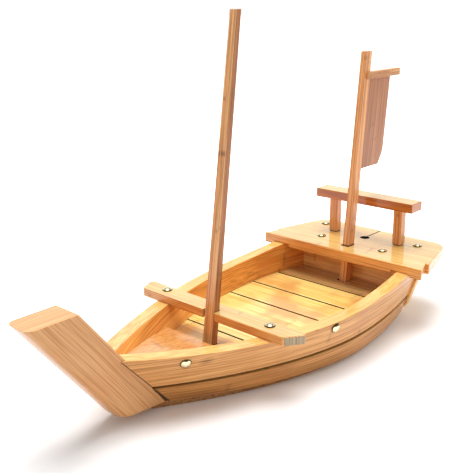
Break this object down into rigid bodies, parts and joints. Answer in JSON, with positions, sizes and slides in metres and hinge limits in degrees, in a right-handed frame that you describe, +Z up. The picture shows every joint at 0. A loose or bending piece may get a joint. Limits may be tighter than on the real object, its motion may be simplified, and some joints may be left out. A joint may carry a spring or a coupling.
{
  "type": "wooden snack boat",
  "caption": "Laminated bamboo serving tray in the form of a small sailing boat, with slatted floor, thwart, masts, stern deck and rail.",
  "frame": {"origin": "middle of the object's bounding box on the table that the bottom board rests on", "axes": "+X toward the bow and stem, +Y toward the port side, +Z up along the masts"},
  "size_m": [0.5586, 0.228, 0.36],
  "materials": {
    "side_planks": "clear gloss lacquer over fine-strip laminated bamboo",
    "stem": "clear gloss lacquer over fine-strip laminated bamboo",
    "bottom": "clear gloss lacquer over fine-strip laminated bamboo",
    "inner_boards": "clear gloss lacquer over fine-strip laminated bamboo",
    "floor": "clear gloss lacquer over fine-strip laminated bamboo",
    "deck_boards": "clear gloss lacquer over fine-strip laminated bamboo",
    "masts": "clear gloss lacquer over fine-strip laminated bamboo",
    "sail": "clear gloss lacquer over fine-strip laminated bamboo",
    "tacks": "polished domed heads, pale brass plate"
  },
  "bodies": {
    "root": {"bottom_board": "bottom", "stem": "stem", "lower_strake_port": "side_planks", "lower_strake_starboard": "side_planks", "upper_strake_port": "side_planks", "upper_strake_starboard": "side_planks", "transom": "inner_boards", "bearer_port": "inner_boards", "bearer_starboard": "inner_boards", "stern_slat": "floor", "floor_slat_1": "floor", "floor_slat_2": "floor", "floor_slat_3": "floor", "floor_slat_4": "floor", "mast_slat": "floor", "bow_floor_board": "floor", "thwart": "deck_boards", "stern_deck": "deck_boards", "rail": "deck_boards", "rail_post_port": "masts", "rail_post_starboard": "masts", "main_mast": "masts", "stern_mast": "masts", "yard": "masts", "sail_board": "sail", "brass_tacks": "tacks"}
  },
  "joints": []
}
